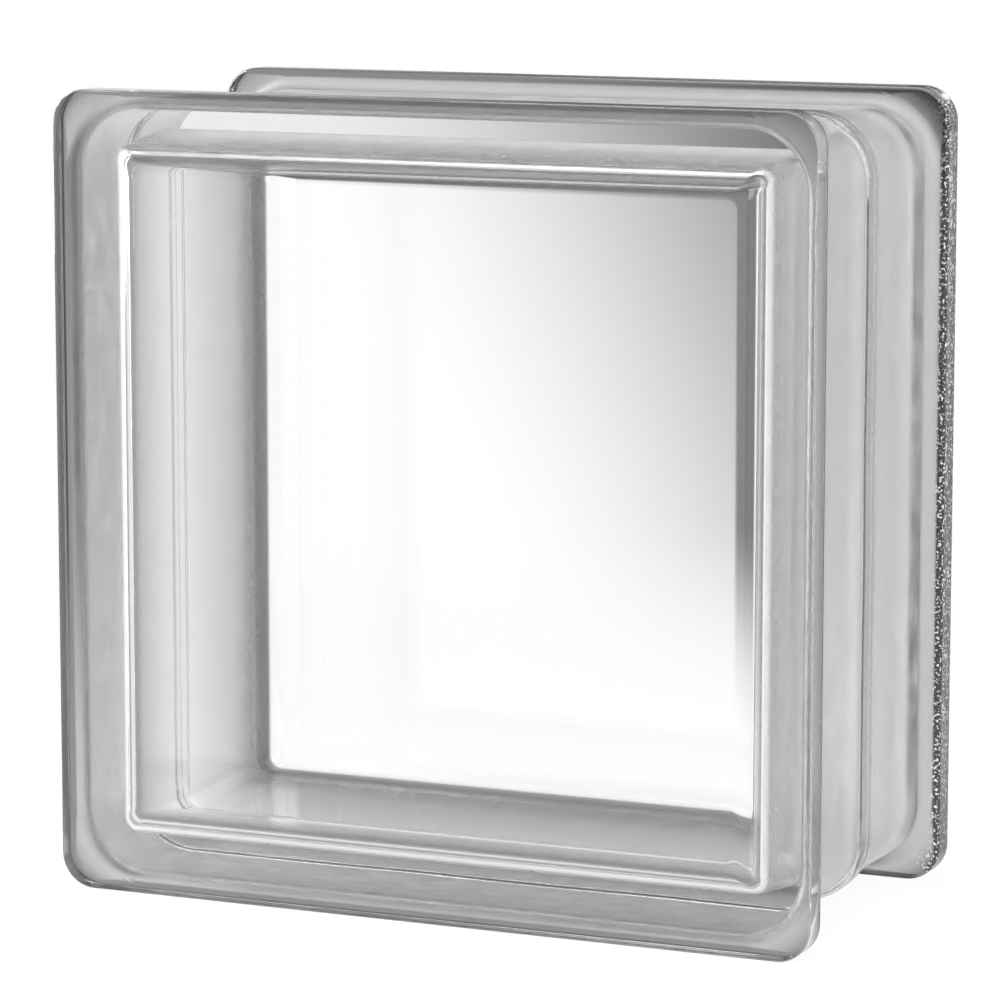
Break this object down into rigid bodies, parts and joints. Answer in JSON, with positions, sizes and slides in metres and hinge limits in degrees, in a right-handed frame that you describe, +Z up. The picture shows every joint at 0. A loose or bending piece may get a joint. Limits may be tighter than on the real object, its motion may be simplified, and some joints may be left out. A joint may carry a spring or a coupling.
{
  "type": "hollow glass block",
  "caption": "Square hollow building block of clear glass with smooth faces, rimmed edges and a mortar channel round its four sides",
  "frame": {"origin": "on the ground, at the middle of the block's footprint", "axes": "+Z up, X along the faces, Y through the block from the front face (-Y) to the rear face (+Y)"},
  "size_m": [0.1968, 0.0984, 0.1969],
  "materials": {
    "clear_glass": "fire polished faces, satin channel sides"
  },
  "bodies": {
    "root": {"glass_block": "clear_glass"}
  },
  "joints": []
}
